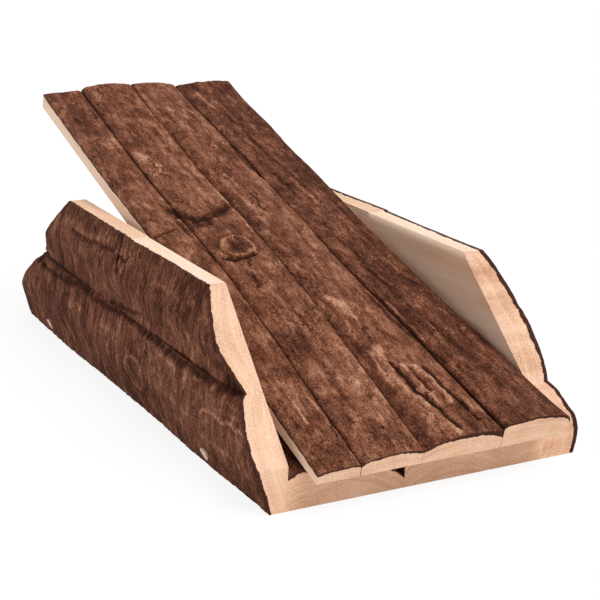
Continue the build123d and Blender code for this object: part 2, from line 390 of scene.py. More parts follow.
# Thickness of the plain slab around the pegs, at its foot, crest and head
PLAIN_LEVELS = (8.0 * MM, 15.2 * MM, 10.0 * MM)
left_seam = 44 * MM

# Marks on the left wall's bark: kind and seeds of the slabs, then
# line: points as (along, height), half its width, rise, tone
# patch: place along and up, half its length and width, tone, rise
# knot: place along and up, half its length and width, rise of its ring, pit, tone of its ring
# Sizes are in millimetres, and a tone above 0 is paler.
WALL_MARKS = (
    ("line", (12,), [(-150, 81), (95, 81)], 4.5, 0, -0.55),
    ("line", (12,), [(-8, 82), (-9, 75.5), (-7.5, 70.5), (-7, 63.5)], 0.8, -0.9, -2.2),
    ("line", (12,), [(-7.5, 70.5), (-4, 71.5), (1, 71), (5.5, 73.5)], 0.6, -0.5, -1.5),
    ("patch", (12,), -1, 74, 4, 2.2, 0.9, 0.3),
    ("patch", (12,), -12.5, 71.5, 3, 2.2, 0.9, 0.3),
    ("patch", (12,), -1, 67.5, 3, 2.5, 0.6, 0.2),
    ("line", (12,), [(-45, 78), (-43, 76.5)], 0.8, -0.3, -1.6),
    ("line", (12,), [(-27.5, 64.5), (-28, 61.5)], 0.8, -0.3, -1.2),
    ("line", (12,), [(17, 80), (16.5, 77)], 0.7, -0.3, -1.5),
    ("line", (12,), [(-85, 73), (-62, 72.5), (-50, 72.5), (-37, 74), (-25, 75.5), (-15, 77)],
     1.7, 0.5, 0.7),
    ("line", (12,), [(-74, 70), (-60, 70), (-48, 69.8), (-30, 71.5), (-15, 73)], 1.0, -0.6, -1.0),
    ("line", (12,), [(30, 74), (29.5, 51)], 0.5, -0.2, -0.9),
    ("line", (12,), [(36.5, 69), (48, 70.8), (59, 70.5)], 1.2, 0.2, 1.0),
    ("line", (12,), [(63.5, 70), (71, 69)], 0.9, 0.1, 0.8),
    ("line", (12,), [(77, 65), (74.5, 54.5)], 0.5, -0.2, -1.0),
    ("line", (12,), [(96, 66.5), (95, 59.5)], 0.5, -0.2, -1.0),
    ("patch", (11, 12), 124, 46.5, 9, 4, -1.6),
    ("patch", (12,), 111, 52, 9, 4, -0.8),
    ("line", (11, 12), [(-141, 43.5), (-134, 41.5), (-127, 40.5), (-118, 38.5)], 1.8, -1.7, -1.9),
    ("line", (12,), [(-130, 47), (-113, 46)], 1.5, 0.4, 1.0),
    ("line", (11,), [
        (-119, 39.5), (-97, 39.5), (-77, 41), (-60, 43), (-41, 41.5), (-20, 41.5), (0, 43.8),
        (30, 43), (60, 42), (90, 43), (125, 43),
    ], 1.3, -0.8, -1.5),
    ("line", (12,), [(-20, 44.5), (0, 46.5), (20, 49)], 1.0, -0.6, -1.3),
    ("patch", (11,), 37, 40.5, 3.5, 1.1, 1.3),
    ("patch", (11,), 66, 38, 5.5, 1.3, 1.5, 0.2),
    ("patch", (11,), 53, 39, 3.5, 1.4, 0.9),
    ("patch", (11,), 95, 41, 4.5, 1.1, 1.2, 0.2),
    ("patch", (11,), 110, 41.5, 2.5, 1.4, 1.2),
    ("patch", (11,), 10, 40.5, 3.5, 1.2, 1.0),
    ("patch", (11,), -22.5, 32, 4.5, 1.8, 1.2),
    ("patch", (11,), -71, 30, 3.5, 2, 0.7),
    ("patch", (11,), -58, 32, 3, 1.8, 0.7),
    ("knot", (11,), 21, 20.5, 11, 7.8, 0.5, 0.7, 1.1),
    ("line", (11,), [(109, 37), (135, 39.5)], 0.6, 0.1, 0.7),
    ("line", (11,), [(112, 34), (137, 36)], 0.6, 0.1, 0.6),
    ("line", (11,), [(100, 28), (106.5, 30), (117, 30.5), (129.5, 31.5), (139, 32.5), (145, 31)],
     0.7, 0.3, 1.5),
    ("line", (11,), [(98, 15.5), (118, 17), (138, 16)], 0.8, 0.1, 0.8),
    ("line", (11,), [(60, 24), (82, 21), (96, 22)], 0.8, 0.1, 0.7),
)


def wall_reach(height):
    """Half the length of a wall at a height."""
    share = (height - wall_toe) / (wall_height - wall_toe)
    return half_stand - np.clip(share, 0, 1) * (half_stand - half_wall_top)


def make_wall_slab(name, side, seed, profile, settings, finishes):
    """One slab of a wall, bark side out."""
    sizes = settings.seesaw_sizes
    heights, thicks = (np.array(column) * MM for column in zip(*profile))
    bottom, top = heights[0], heights[-1]
    rows, columns = grid_counts(2 * half_stand, top - bottom, sizes.bark_step)
    levels = np.linspace(bottom, top, columns)
    corners = [wall_toe] if bottom < wall_toe < top else []
    bevelled = name == "right_wall_upper"
    bevel_foot = wall_height - bevel_down
    if bevelled:
        corners.append(bevel_foot)
    for corner in corners:
        levels[np.abs(levels - corner).argmin()] = corner
    z = np.repeat(levels[None, :], rows, 0)
    x = np.linspace(-1, 1, rows)[:, None] * wall_reach(z)
    inner = inner_foot - wall_lean * z / wall_height

    relief = Relief(x, z, seed, sizes, upright=side == LEFT)
    make_marks(relief, WALL_MARKS, seed)
    foot_is_seam, head_is_seam = bottom > MM, top < wall_height - MM
    nearest_seam = np.minimum(
        z - bottom if foot_is_seam else np.inf, top - z if head_is_seam else np.inf
    )
    uneven = 1 + 0.7 * layered(x / (9 * MM), z / (9 * MM), seed + 70, 2)
    roll = fall_off(nearest_seam, 1.3 * MM * uneven)
    if side == LEFT:  # grown together between the ends
        inward = 1 - fall_off(wall_reach(z) - np.abs(x), 14 * MM)
        roll = roll * (1 - 0.75 * inward)
        relief.height = relief.height + 2.4 * MM * inward * fall_off(z - left_seam, 6.5 * MM)
    cut = fall_off(wall_reach(z) - np.abs(x), 2.5 * MM)
    thick = smooth_through(heights, thicks, z)
    drift = 0.9 * MM * layered(x / (90 * MM), z / (20 * MM), seed + 90, 2)
    thick = thick + drift * (1 - fall_off(half_stand - x, 30 * MM)) + relief.height
    thick = thick - 0.8 * sizes.seam_roll * roll
    if name == "left_wall_lower":
        plain = arched(z / left_seam, *PLAIN_LEVELS) - 0.03 * MM
        for place in peg_places:
            near = fall_off(np.hypot(x - place, z - peg_height), 3.6 * MM, 6)
            thick = thick * (1 - near) + np.minimum(thick, plain) * near
    lowered = np.where((x > 0) & (z >= wall_height - 1e-6), saw_step, 0)
    bark = inside_box(np.stack([x, side * (inner + thick), z - lowered], -1))

    cut_back = np.zeros_like(z)
    if bevelled:
        started = np.clip(x / (3 * MM), 0, 1) ** 0.5
        cut_back = started * np.clip((z - bevel_foot) / bevel_down, 0, 1) * bevel_across
    sawn = np.stack([x, side * (inner + cut_back), z - lowered], -1)
    # Painted shade on the rear half of each wall's top, where the raised plank shades it, and
    # painted light on its front half. A dark saw mark then crosses the top at the middle.
    wood_tone = np.where(x < 0, -0.9, 0.35) * fall_off(top - z, 0.1 * MM)
    wood_tone = wood_tone - 1.2 * fall_off(x, 0.6 * MM) * (z > wall_height - 1e-6)
    if side == RIGHT:
        # painted shade and the wood's own marks on the inner face
        wood_tone = wood_tone + inner_marks_and_shade(x, z)
    grain = np.stack([z, x, z * 0], -1) if side == LEFT else np.stack([x, z, z * 0], -1)
    rim = (sizes.thick_rim if side == RIGHT else sizes.rim) * (
        1 + 0.3 * layered(x / (5 * MM), z / (5 * MM), seed + 80)
    )
    # Painted shade: the walls' bark is made a little darker than the plank's, for the shade on the
    # left wall's side, which faces away from the lamp.
    darker = 0.2
    tone = relief.tone - 1.0 * roll - 0.7 * cut - darker
    step = 2 if side == RIGHT else 8
    keep = {0, columns - 1} | set(range(0, columns, step))
    keep |= {int(np.abs(levels - corner).argmin()) for corner in corners}
    made = slab_object(
        name + "_slab", bark, sawn, sorted(keep), grain, np.stack([x, z], -1), tone, wood_tone,
        rim, (foot_is_seam, head_is_seam),
    )
    finish_slab(made, STAND, name, finishes)


def inner_marks_and_shade(x, z):
    """Tone of the right wall's inner face: darker all over, partly its own tan and partly painted
    shade of the plank, a band of painted shade under its bevel, and a knot and streaks of its own.
    """
    wander = 1.5 * MM * layered(x / (40 * MM), z / (30 * MM), 95, 2)
    # a band of painted shade under the bevel
    band = fall_off(z + wander - 72 * MM, 5 * MM, 3)
    knot = fall_off(np.hypot((x - 102 * MM) / 9, (z + wander - 44 * MM) / 4) / MM, 1, 3)
    streaks = layered(x / (60 * MM), (z + wander) / (2.5 * MM), 97)
    inside = (z < wall_height - bevel_down) * 1.0
    # below the bevel the face is darkened, partly as its own tan and partly as painted shade of the
    # plank, and more so in the band; the knot and streaks are the wood's own
    return inside * (-0.4 - 0.5 * band - 1.4 * knot + 0.5 * streaks)


# ---------------------------------------------------------------- tray

tray_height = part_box("tray_slab_3")[1].z
tray_seams = [-65.5 * MM, -54.5 * MM, -8.1 * MM, 44.7 * MM, 65.5 * MM]
# How far each slab's top lies below the tray's highest, at its left side, crown and right side
tray_drops = ((5.2, 3.7, 3.1), (3.9, 2.9, 14.5), (9.5, 0.0, 9.0), (7.4, 5.0, 4.2))


def make_tray_slab(number, settings, finishes):
    """One slab of the tray, bark side up."""
    sizes = settings.seesaw_sizes
    left, right = tray_seams[number], tray_seams[number + 1]
    levels = (tray_height - drop * MM for drop in tray_drops[number])
    rows, columns = grid_counts(2 * half_stand, right - left, sizes.tray_step)
    share = np.linspace(0, 1, columns)[None, :].repeat(rows, 0)
    x = np.linspace(-half_stand, half_stand, rows)[:, None].repeat(columns, 1)
    y = left + (right - left) * share
    relief = Relief(x, y, 31 + number, sizes)
    roll = fall_off(np.minimum(y - left, right - y), 1.5 * MM)
    height = arched(share, *levels) - np.abs(relief.height) - 0.5 * sizes.seam_roll * roll
    lean = wall_lean * height / wall_height
    bark_y = y + (lean * (1 - share) if number == 0 else 0)
    bark_y = bark_y - (lean * share if number == len(tray_drops) - 1 else 0)
    bark = inside_box(np.stack([x, bark_y, height], -1))
    sawn = np.stack([x, y, np.zeros_like(y)], -1)
    rim = sizes.rim * (0.8 + 0.4 * layered(x / (5 * MM), y / (5 * MM), 50 + number))
    name = f"tray_slab_{number + 1}"
    made = slab_object(
        name + "_slab", bark, sawn, sorted({0, columns - 1} | set(range(0, columns, 8))),
        np.stack([x, y, y * 0], -1), np.stack([x, y], -1), relief.tone - 1.2 * roll - 0.3,
        np.full_like(y, -0.25), rim, (True, True),
    )
    finish_slab(made, STAND, name, finishes)


# ---------------------------------------------------------------- plank

axle_centre = np.array([0, 0, 52.5]) * MM
tilt = math.radians(17.485)
roll_angle = math.radians(1.0)
plank_across = np.array([0, math.cos(roll_angle), math.sin(roll_angle)])
plank_along = np.array([
    math.cos(tilt), math.sin(tilt) * math.sin(roll_angle), -math.sin(tilt) * math.cos(roll_angle)
])
plank_up = np.cross(plank_along, plank_across)
underside = 16.5 * MM  # from the axle's centre to the plank's underside
front_reach = 171.881 * MM
rear_reach = 177.981 * MM
end_skew = 2.1 * MM
edge_radius = 2.0 * MM
left_edge = -58.9 * MM
STRIP_COUNT = 4
GRID_WIDTHS = (22, 30, 32, 36)  # about how wide the strips are, in millimetres

# Places along the plank, and there the widths of the strips from the left edge on, and each
# one's thickness at its left side, crown and right side. All in millimetres.
PLANK_PLACES = (-177.98, -80, 20, 173.98)
WIDTHS = ((22.9, 30.4, 28.6), (22.5, 30.2, 31.0), (22.0, 30.0, 31.0), (20.4, 29.7, 39.8))
THICKNESS = (
    ((8.4, 8.9, 8.6), (9.7, 12.0, 9.8), (10.0, 10.0, 7.0), (7.0, 8.3, 7.1)),
    ((7.6, 8.2, 7.6), (8.3, 10.3, 8.6), (8.8, 10.5, 8.8), (9.0, 9.6, 7.5)),
    ((10.6, 12.2, 11.6), (12.0, 14.6, 13.4), (13.4, 13.8, 10.6), (10.8, 11.2, 8.6)),
    ((5.2, 6.2, 5.9), (6.2, 8.2, 6.8), (7.2, 11.0, 9.4), (11.2, 12.8, 10.2)),
)
# The plank's wavy right edge, as (along, across)
WAVY_EDGE = (
    (-177.98, 59.2), (-146, 57.9), (-121, 58.9), (-93, 57.9), (-60, 59.0), (-27, 58.2),
    (20, 58.3), (65, 59.3), (124, 62.7), (150, 63.5), (173.98, 65.9),
)
BARK_RIMS = ((1.0, 1.0), (1.0, 1.3), (1.2, 3.0), (1.2, 1.4))  # at a strip's left and right side
STRIP_TONES = (-0.05, 0.1, -0.1, -0.55)
OPEN_SEAMS = ((0, 0.18), (0.12, 0.05), (0.05, 0.08), (0.05, 0))  # how far a side stands back

# Marks on the plank's bark, given as those of the wall, with the numbers of their strips and
# places along and across the plank
PLANK_MARKS = (
    # the scar across the second strip, the swelling above it and its pits
    ("patch", (1,), -40, -22, 8, 12, 0.6, 0.7),
    ("line", (0, 1), [
        (-35, -38.5), (-29.5, -36), (-24, -33.5), (-20.5, -31.5), (-20, -26), (-21.5, -20),
        (-26.5, -13), (-30.5, -9.5),
    ], 2.3, -1.2, -2.0),
    ("line", (1,), [(-20.5, -31.5), (-15, -33)], 1.6, -0.5, -1.3),
    ("line", (1,), [(-20, -26), (-12.5, -27)], 1.2, -0.5, -1.3),
    ("patch", (1,), -26.5, -12.5, 1.3, 1.3, -1.8, -0.6),
    ("patch", (1,), -40, -30.5, 1.1, 0.9, -2.0, -0.5),
    ("patch", (1,), -41, -21, 1.2, 0.7, -1.6, -0.4),
    ("patch", (1,), -71, -29.5, 0.9, 0.8, -1.8, -0.4),
    ("patch", (1,), -21, -23.3, 1.0, 1.0, 1.8),
    # the flake above them, with a dark edge
    ("patch", (1,), -92, -31, 6, 2.6, 0.9, 0.3),
    ("patch", (1,), -82.5, -26.8, 5, 2.4, 0.9, 0.3),
    ("line", (1,), [(-89, -29.8), (-86, -29.2), (-79.5, -29.4), (-77.5, -25.7)], 0.5, -0.5, -1.5),
    # the knot and what surrounds it
    ("knot", (1,), 11.5, -22.8, 9.2, 7.9),
    ("patch", (1,), 18, -18, 2.0, 1.8, 1.3, 0.3),
    ("line", (1,), [(18.5, -33.5), (22, -29.5), (22.8, -23), (21, -18)], 0.9, -1.1, -2.4),
    ("line", (1,), [(25, -23), (31, -25.5)], 0.6, -0.5, -1.5),
    ("line", (1,), [(38.5, -27), (47, -28)], 0.8, -0.6, -1.8),
    ("patch", (1,), -8, -31, 3.2, 2.6, 0.9),
    ("line", (1,), [(-45, -8.0), (-28, -7.6), (-2, -8.2)], 0.6, 0.2, 1.6),
    ("line", (1,), [(-120, -12), (-95, -11.5), (-62, -11)], 1.1, 0.2, 0.7),
    ("line", (1,), [(-70, -17.5), (-50, -17)], 1.2, 0.1, 0.6),
    ("patch", (1,), -62, -20, 6, 3, -0.7),
    # the near half of the second strip
    ("patch", (1,), 112, -31, 6, 3.6, 0.8, 0.2),
    ("line", (1,), [(88, -27.5), (101, -29), (106, -26.5), (122, -26.5), (133, -27)],
     1.8, -0.4, -0.9),
    ("line", (1,), [(83, -10.3), (92, -10.8), (110, -10)], 1.5, 0.2, 0.8),
    ("patch", (1,), 157, -23.5, 9, 6, -1.0),
    ("line", (1,), [(52, -22), (75, -20), (96, -18)], 1.0, -0.2, -0.6),
    # the first strip
    ("line", (0,), [(-11, -56), (-12.5, -51), (-14, -46.5)], 0.7, -0.5, -1.7),
    ("line", (0,), [(-28.5, -56), (-24.5, -50)], 0.6, -0.3, -1.1),
    ("patch", (0,), -87, -51, 9, 2.4, 0.8, 0.2),
    ("patch", (0,), -25.5, -38.3, 1.6, 1.4, 1.6, 0.3),
    ("line", (0,), [(-30, -38.5), (-11, -41), (-0.5, -39.8), (9.5, -38.4), (19, -37.6)],
     0.8, -0.5, -1.5),
    ("line", (0,), [(128, -49.3), (142, -48.9)], 0.5, 0.2, 1.6),
    ("line", (0,), [(117, -41.3), (130, -41.1), (138, -40.4), (148.5, -39.5), (158, -39.2)],
     0.6, 0.2, 1.4),
    ("patch", (0,), -140, -48, 12, 4, -0.5),
    # the third strip: its pale ridge, cracks and splinters
    ("line", (2,), [
        (-130, 18.5), (-82, 20.5), (-58, 18.5), (-41, 19), (-14, 18.5), (26, 16.3), (44, 18.3),
        (64, 20.5),
    ], 2.0, 0.35, 0.8),
    ("line", (2,), [(-97, 22.6), (-74, 23.0), (-58, 23.4)], 0.7, -0.5, -1.5),
    ("line", (2,), [(-38, 7), (-32, 7.7), (-24, 6.3), (-18, 7.3)], 0.7, -0.6, -1.9),
    # a sunk band along the third strip's left side, whose darkness is painted shade
    ("line", (2,), [(-120, -3.4), (-60, -4), (-26, -4.4), (10, -4.6), (60, -4.8)],
     2.4, -0.2, -0.75),
    ("line", (2,), [(60, -4.6), (90, -4.8), (120, -5.6), (150, -6), (172, -6)], 2.4, -0.3, -0.9),
    ("line", (2,), [(64, 0.8), (69, 1.6), (74, 3), (83, 4)], 1.9, 0.3, 1.3, 4),
    ("line", (2,), [(85, -1.3), (92, -2), (100, -1.2)], 0.7, 0.2, 1.5),
    ("line", (2,), [(107, 3.2), (118.5, 1.4), (131, 0.4), (141.5, 2.0), (150.5, 4.4)],
     1.7, 0.8, 1.5, 4),
    ("line", (2,), [(150.5, 4.4), (162, 6.0), (170, 8.6)], 2.1, 0.7, 1.0, 4),
    ("line", (2,), [(107, -1), (121, -2.5), (133, -2.5)], 0.5, 0.2, 1.3),
    ("line", (2,), [(118, 4.4), (134, 5.3), (145.5, 6.9), (156.5, 8.9), (168, 11)],
     0.8, -1.2, -2.8),
    ("line", (2,), [(121, 8.3), (132, 9.2), (144, 10.0)], 1.2, 0.4, 0.9, 4),
    ("line", (2,), [(124.5, 10.6), (136, 11.6), (141, 12.6)], 0.7, -0.9, -2.3),
    ("line", (2,), [(123, 13.9), (131, 15.3), (141.5, 17), (151, 16.2)], 1.2, 0.6, 1.7, 4),
    ("line", (2,), [(126, 18), (139, 19.2), (152, 21), (164, 22.6)], 0.8, -1.1, -2.6),
    ("patch", (2,), 142.5, 13.2, 0.7, 0.7, 4.0, 0.3),
    ("line", (2,), [(133, 21), (141, 22)], 1.1, 0.3, 0.9, 4),
    ("line", (2,), [(63, 23), (77, 23), (88, 23.4), (101, 25)], 0.6, -0.5, -1.7),
    ("line", (2,), [(-150, 13), (-140, 17.5), (-131, 21)], 0.9, 0.3, 1.0),
    ("patch", (2,), 25, 3, 9, 4, -0.6),
    # the fourth strip
    ("line", (3,), [(72, 28), (79, 28.9), (92, 29.4), (107, 30.2)], 0.5, 0.2, 1.4),
    ("line", (3,), [(64, 26.6), (78, 26.8), (92, 27.6), (112, 28.6), (124, 30.0)], 0.5, -0.6, -1.9),
    ("line", (3,), [(-165, 30.5), (-153, 31.5), (-141.5, 32)], 0.8, 0.2, 1.6),
    ("line", (3,), [(-102, 34.3), (-91, 35.6)], 0.7, 0.2, 0.9),
    ("line", (3,), [(-52, 38.3), (-38, 39.2), (-23, 39.6)], 0.7, 0.2, 1.2),
    ("line", (3,), [(-130, 37), (-80, 38.5), (-30, 43)], 0.5, -0.3, -1.0),
    ("line", (3,), [(-60, 32), (0, 33), (60, 36), (120, 42)], 0.6, -0.3, -0.8),
)


def make_strip(number, settings, finishes):
    """One strip of the plank, bark side up."""
    sizes = settings.seesaw_sizes
    last = number == STRIP_COUNT - 1
    seed = 21 + number
    total = front_reach + rear_reach
    places = np.array(PLANK_PLACES) * MM

    def seam(count, along):
        if count == STRIP_COUNT:
            return smooth_through(*zip(*WAVY_EDGE), along / MM) * MM
        widths = [sum(row[:count]) for row in WIDTHS]
        return left_edge + np.interp(along, places, widths) * MM

    rows, columns = grid_counts(total, GRID_WIDTHS[number] * MM, sizes.bark_step)
    u = np.linspace(0, 1, rows)[:, None].repeat(columns, 1)
    w = np.linspace(0, 1, columns)[None, :].repeat(rows, 0)
    whole = WAVY_EDGE[-1][1] * MM - left_edge
    along, y = u * total - rear_reach, None
    for _ in range(2):  # the skewed end depends on the place across, and that on the end
        left, right = seam(number, along), seam(number + 1, along)
        y = left + w * (right - left)
        along = u * (total + end_skew * (y - left_edge) / whole) - rear_reach
    stand_back = [value * MM for value in OPEN_SEAMS[number]]
    y = y + stand_back[0] * (1 - w) - stand_back[1] * w

    base = arched(
        w, *(smooth_through(places, [row[number][k] for row in THICKNESS], along) for k in range(3))
    ) * MM
    relief = Relief(along, y, seed, sizes)
    make_marks(relief, PLANK_MARKS, number)
    from_left, from_right = y - left, right - y
    uneven = 1 + 0.5 * layered(along / (12 * MM), y / (12 * MM), seed + 70, 2)
    roll = (0.3 if number == 0 else 0.7) * fall_off(from_left, 0.8 * MM * uneven)
    if not last:
        roll = np.maximum(roll, 0.6 * fall_off(from_right, 0.7 * MM * uneven))
    height = base + relief.height - sizes.seam_roll * roll
    tone = relief.tone - 1.2 * roll + STRIP_TONES[number]
    if last:
        past = np.clip((y - (right - edge_radius)) / edge_radius, 0, 1)
        height = height - edge_radius * (1 - np.sqrt(np.maximum(1 - past**2, 0)))
        tone = tone - 0.5 * fall_off(from_right, 6 * MM)
    bark = inside_box(on_plank(along, y, height))
    sawn = inside_box(on_plank(along, y, np.zeros_like(y)))
    rim_left, rim_right = BARK_RIMS[number]
    rim = (rim_left + (rim_right - rim_left) * w**2) * MM
    rim = rim * (1 + 0.3 * layered(along / (5 * MM), y / (5 * MM), seed + 80))
    name = f"plank_strip_{number + 1}"
    made = slab_object(
        name + "_slab", bark, sawn, sorted({0, columns - 1} | set(range(0, columns, 8))),
        np.stack([along, y, y * 0], -1), np.stack([along, y], -1), tone,
        np.zeros_like(y), rim, (number > 0, not last),
    )
    finish_slab(made, PLANK, name, finishes)


def on_plank(along, across, height):
    """Points of the whole seesaw, from places on the plank."""
    return (
        axle_centre + along[..., None] * plank_along + across[..., None] * plank_across
        + (underside + height)[..., None] * plank_up
    )


# ---------------------------------------------------------------- finishes


def node(tree, kind, inputs=None, **settings):
    """Add a shader node, set it up and link or set its inputs."""
    made = tree.nodes.new(kind)
    for key, value in settings.items():
        setattr(made, key, value)
    for key, value in (inputs or {}).items():
        if isinstance(value, bpy.types.NodeSocket):
            tree.links.new(value, made.inputs[key])
        else:
            made.inputs[key].default_value = value
    return made


def maths(tree, operation, *terms):
    """One step of arithmetic on sockets or numbers."""
    return node(tree, "ShaderNodeMath", dict(enumerate(terms)), operation=operation).outputs[0]


def stretched_noise(tree, place, scale, detail=4.0, roughness=0.55, distortion=0.0):
    """Noise whose grains are 1/scale metres long, along each of the three grain directions."""
    spread = node(tree, "ShaderNodeMapping", {"Vector": place, "Scale": scale})
    return node(
        tree, "ShaderNodeTexNoise",
        {
            "Vector": spread.outputs["Vector"], "Scale": 1.0, "Detail": detail,
            "Roughness": roughness, "Distortion": distortion,
        },
    ).outputs["Fac"]


def sum_of(tree, middle, *terms):
    """Middle value plus the weighted swings of (noise socket, weight) pairs about a half."""
    total = middle - sum(weight * 0.5 for _, weight in terms)
    for socket, weight in terms:
        total = maths(tree, "MULTIPLY_ADD", socket, weight, total)
    return total


def ramp(tree, value, stops):
    """Colour along a row of (place, colour) stops."""
    made = node(tree, "ShaderNodeValToRGB", {"Fac": value})
    elements = made.color_ramp.elements
    while len(elements) < len(stops):
        elements.new(0.5)
    for element, (place, shade) in zip(elements, stops):
        element.position = place
        element.color = (*shade, 1)
    return made.outputs["Color"]


def step_between(tree, value, low, high, start=0.0, finish=1.0):
    """From start below low to finish above high, smoothly."""
    return node(
        tree, "ShaderNodeMapRange",
        {"Value": value, "From Min": low, "From Max": high, "To Min": start, "To Max": finish},
        interpolation_type="SMOOTHSTEP", clamp=True,
    ).outputs["Result"]


def new_finish(name):
    """An empty material with its shader."""
    finish = bpy.data.materials.new(name)
    finish.use_nodes = True
    tree = finish.node_tree
    tree.nodes.clear()
    shader = node(tree, "ShaderNodeBsdfPrincipled", {"Specular IOR Level": 0.12})
    node(tree, "ShaderNodeOutputMaterial", {"Surface": shader.outputs["BSDF"]})
    return finish, tree, shader


def surface(tree, shader, shade, level, depth, roughness):
    """Lead a colour, a relief and a range of roughness into a shader."""
    bump = node(tree, "ShaderNodeBump", {"Height": level, "Strength": 0.5, "Distance": depth})
    rough = step_between(tree, level, 0.2, 0.9, *roughness)
    tree.links.new(shade, shader.inputs["Base Color"])
    tree.links.new(bump.outputs["Normal"], shader.inputs["Normal"])
    tree.links.new(rough, shader.inputs["Roughness"])


def thin_lines(tree, place, scale, half_width):
    """1 on thin lines that wander along the grain, 0 elsewhere."""
    noise = stretched_noise(tree, place, scale, 3, 0.55)
    swing = maths(tree, "ABSOLUTE", maths(tree, "SUBTRACT", noise, 0.5))
    return step_between(tree, swing, 0.0, half_width, 1.0, 0.0)


def bark_look(tree, place, tone, colours):
    """Colour and height of bark, from its place and its tone."""
    blotches = stretched_noise(tree, place, (45, 80, 80), 3, 0.6)
    mottles = stretched_noise(tree, place, (170, 260, 260), 4, 0.65, 0.4)
    streaks = stretched_noise(tree, place, (50, 380, 380), 3, 0.6, 0.3)
    fibres = stretched_noise(tree, place, (260, 1300, 1300), 3, 0.6)
    grit = stretched_noise(tree, place, (800, 1000, 1000), 3, 0.75)
    flakes = stretched_noise(tree, place, (75, 150, 150), 5, 0.62, 0.5)
    raised = step_between(tree, flakes, 0.535, 0.56)
    broken = maths(tree, "ABSOLUTE", maths(tree, "SUBTRACT", flakes, 0.53))
    broken = step_between(tree, broken, 0.004, 0.016, 1.0, 0.0)
    cracks = thin_lines(tree, place, (22, 190, 190), 0.012)
    some = step_between(tree, stretched_noise(tree, place, (35, 90, 90), 2), 0.46, 0.6)
    pits = step_between(tree, stretched_noise(tree, place, (420, 520, 520), 2, 0.5), 0.66, 0.72)
    level = sum_of(
        tree, 0.46, (blotches, 0.5), (mottles, 0.6), (streaks, 0.4), (fibres, 0.35), (grit, 0.95)
    )
    level = maths(tree, "MULTIPLY_ADD", tone, 0.17, level)
    level = maths(tree, "MULTIPLY_ADD", raised, 0.1, level)
    level = maths(tree, "MULTIPLY_ADD", maths(tree, "MULTIPLY", broken, some), -0.2, level)
    level = maths(tree, "MULTIPLY_ADD", maths(tree, "MULTIPLY", cracks, some), -0.3, level)
    level = maths(tree, "MULTIPLY_ADD", pits, -0.25, level)
    shade = ramp(
        tree, level,
        (
            (0.08, colours.bark_dark), (0.3, colours.bark_deep), (0.48, colours.bark_mid),
            (0.68, colours.bark_pale), (0.95, colours.bark_worn),
        ),
    )
    return shade, level


def bark_finish(name, colours):
    """Rough, fibrous bark."""
    finish, tree, shader = new_finish(name)
    place = node(tree, "ShaderNodeAttribute", attribute_name="grain").outputs["Vector"]
    tone = node(tree, "ShaderNodeAttribute", attribute_name="tone").outputs["Fac"]
    shade, level = bark_look(tree, place, tone, colours)
    surface(tree, shader, shade, level, 0.8 * MM, (0.95, 0.72))
    return finish


def wood_look(tree, place, tone, colours, speckle, middle=0.3):
    """Colour and height of wood, from its place along, across and below the bark."""
    rings = stretched_noise(tree, place, (4, 22, 620), 3, 0.55)
    fibres = stretched_noise(tree, place, (45, 1500, 1500), 4, 0.65)
    grit = stretched_noise(tree, place, (1400, 1500, 1500), 3, 0.7)
    clouds = stretched_noise(tree, place, (20, 80, 80), 2, 0.5)
    level = sum_of(
        tree, middle, (rings, 0.5), (fibres, 0.4), (grit, speckle), (clouds, 0.3)
    )
    if tone:
        level = maths(tree, "MULTIPLY_ADD", tone, -0.2, level)
    stops = ((0.1, colours.wood_pale), (0.6, colours.wood_mid), (1.0, colours.wood_deep))
    return ramp(tree, level, stops), level


def wood_finish(name, colours, speckle, middle):
    """Sawn wood with a rim of bark where a cut meets the bark."""
    finish, tree, shader = new_finish(name)
    place = node(tree, "ShaderNodeAttribute", attribute_name="grain").outputs["Vector"]
    tone = node(tree, "ShaderNodeAttribute", attribute_name="tone").outputs["Fac"]
    skin = node(tree, "ShaderNodeAttribute", attribute_name="skin").outputs["Fac"]
    shade, level = wood_look(tree, place, tone, colours, speckle, middle)
    ragged = stretched_noise(tree, place, (300, 500, 500), 3, 0.6)
    edge = maths(tree, "MULTIPLY_ADD", maths(tree, "SUBTRACT", ragged, 0.5), 1.5 * MM, skin)
    is_bark = step_between(tree, edge, -0.1 * MM, 0.15 * MM)
    grit = stretched_noise(tree, place, (700, 900, 900), 3, 0.6)
    rim_shade = ramp(tree, grit, ((0.3, colours.bark_dark), (0.75, colours.bark_deep)))
    mixed = node(tree, "ShaderNodeMix", {0: is_bark, 6: shade, 7: rim_shade}, data_type="RGBA")
    surface(tree, shader, mixed.outputs[2], level, 0.3 * MM, (0.6, 0.82))
    return finish


def plain_wood_finish(name, colours, turn):
    """Sawn or turned wood of a piece whose grain runs along one direction."""
    finish, tree, shader = new_finish(name)
    coordinates = node(tree, "ShaderNodeTexCoord").outputs["Object"]
    place = node(
        tree, "ShaderNodeMapping", {"Vector": coordinates, "Rotation": turn}
    ).outputs["Vector"]
    shade, level = wood_look(tree, place, None, colours, 0.2)
    surface(tree, shader, shade, level, 0.3 * MM, (0.55, 0.78))
    return finish


def finishes_for_slabs(colours):
    """Bark, sawn wood and end grain, made once and shared by the slabs."""
    return [
        bpy.data.materials.get("bark") or bark_finish("bark", colours),
        bpy.data.materials.get("sawn_slab") or wood_finish("sawn_slab", colours, 0.35, 0.3),
        bpy.data.materials.get("end_grain") or wood_finish("end_grain", colours, 0.9, 0.58),
    ]


def dress_node(name, finish):
    """Give a plain node that stays its finish."""
    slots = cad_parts[name].data.materials
    if len(slots) == 0:
        slots.append(finish)
    for place in range(len(slots)):
        slots[place] = finish


# ---------------------------------------------------------------- operators


